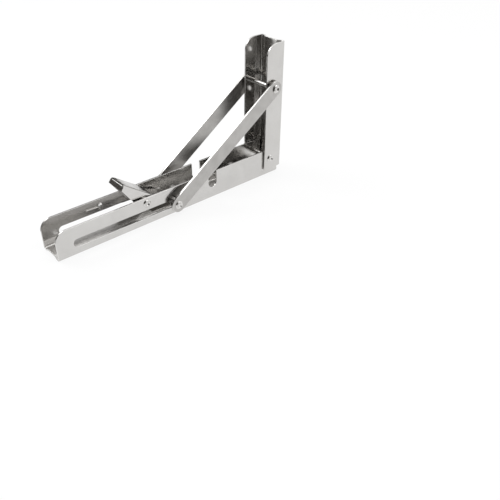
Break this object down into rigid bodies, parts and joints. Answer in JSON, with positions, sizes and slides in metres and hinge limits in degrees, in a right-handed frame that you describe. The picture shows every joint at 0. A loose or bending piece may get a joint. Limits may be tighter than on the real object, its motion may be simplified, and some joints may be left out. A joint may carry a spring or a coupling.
{
  "type": "folding shelf bracket",
  "caption": "Folding shelf bracket with a wall channel, a hinged arm channel, paired brace bars that slide in slots, and a sprung release lever that locks the arm level.",
  "frame": {"origin": "where the wall face and the shelf face meet, at mid width", "axes": "+X away from the wall along the arm, +Y across the bracket towards its left side as seen from the wall, +Z along the wall plate away from the face that takes the shelf (downwards in use)"},
  "size_m": [0.2999, 0.0506, 0.1598],
  "materials": {
    "sheet": "satin stainless sheet with a fine rolled grain",
    "pins": "turned stainless, riveted over",
    "spring": "bright drawn wire"
  },
  "bodies": {
    "wall": {"wall_plate": "sheet", "hinge_pin": "pins", "hinge_washer_left": "pins", "hinge_washer_right": "pins", "brace_pin": "pins", "brace_washer_left": "pins", "brace_washer_right": "pins"},
    "arm": {"arm_channel": "sheet", "lever_pin": "pins", "lever_spacer_left": "pins", "lever_spacer_right": "pins", "torsion_spring": "spring"},
    "brace": {"brace_bar_left": "sheet", "brace_bar_right": "sheet", "brace_rivet_left": "pins", "brace_rivet_right": "pins"},
    "slider": {"slide_pin_left": "pins", "slide_pin_right": "pins", "slide_spacer_left": "pins", "slide_spacer_right": "pins"},
    "lever": {"release_lever": "sheet"}
  },
  "joints": [
    {"name": "fold", "type": "hinge", "parent": "wall", "child": "arm", "pos_m": [0.0175, 0, 0.0225], "axis": [0, -1, 0], "range_deg": [0, 90]},
    {"name": "brace_swing", "type": "hinge", "parent": "wall", "child": "brace", "pos_m": [0.0166, 0, 0.1104], "axis": [0, -1, 0], "range_deg": [0, 121.1]},
    {"name": "pin_slide", "type": "slide", "parent": "arm", "child": "slider", "axis": [1, 0, 0], "range_m": [0, 0.1184]},
    {"name": "lever_press", "type": "hinge", "parent": "arm", "child": "lever", "pos_m": [0.1943, 0, 0.0265], "axis": [0, 1, 0], "range_deg": [0, 40], "stiffness_Nm_per_rad": 0.2, "springref_deg": -20.05, "deforming": ["torsion_spring"]}
  ],
  "couplings": [
    {"joint": "brace_swing", "follows": "fold", "ratio": 1.3447},
    {"joint": "pin_slide", "follows": "fold", "m_per_rad": 0.075296}
  ]
}
